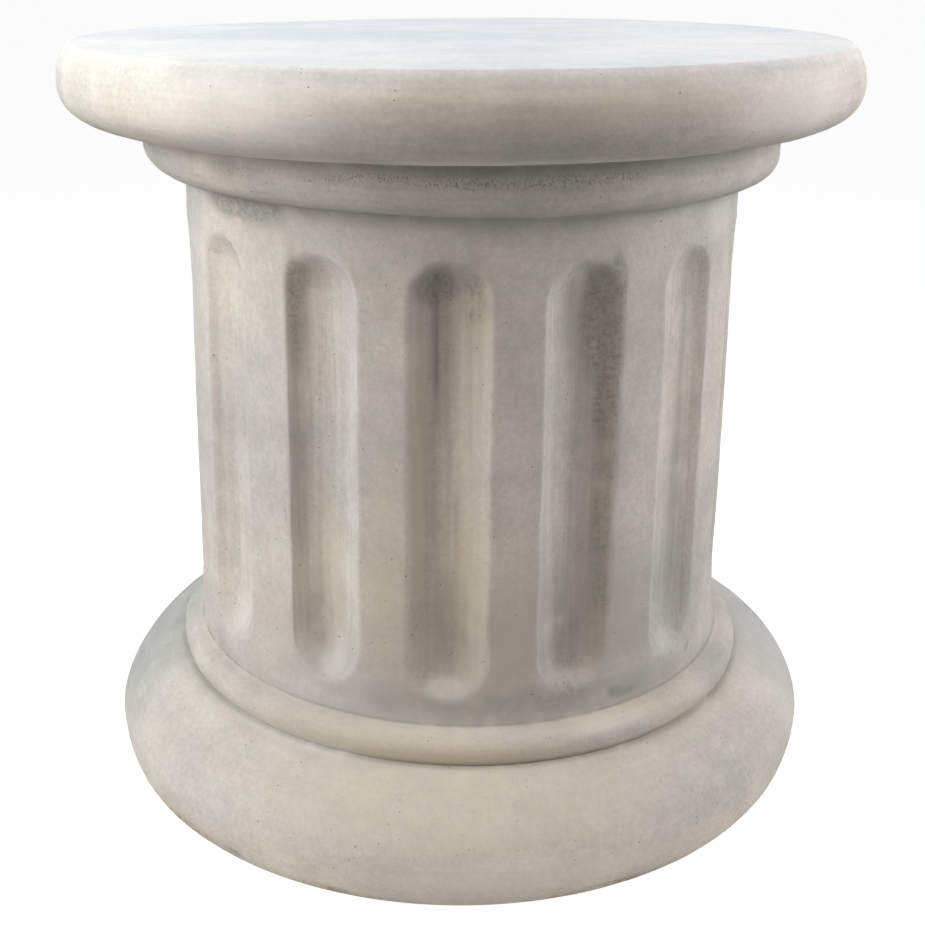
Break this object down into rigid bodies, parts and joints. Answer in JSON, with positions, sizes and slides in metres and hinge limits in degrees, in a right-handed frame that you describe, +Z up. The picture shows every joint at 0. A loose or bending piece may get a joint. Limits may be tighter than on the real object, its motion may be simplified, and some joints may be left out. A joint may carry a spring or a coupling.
{
  "type": "fluted column pedestal",
  "caption": "Short round column pedestal with a flat round cap, a necking ring, a fluted shaft, and a rounded foot, cast in one piece for a planter, bust or statue.",
  "frame": {"origin": "middle of the underside, on the floor", "axes": "+Z up along the column's axis; -Y toward the viewer of the picture, +X to that viewer's right"},
  "size_m": [0.495, 0.495, 0.48],
  "materials": {
    "cast_stone": "matt off-white cast stone (resin and stone powder), slightly warm, with pinholes and grey stains under the cap and in the flutes"
  },
  "bodies": {
    "root": {"column_pedestal": "cast_stone"}
  },
  "joints": []
}
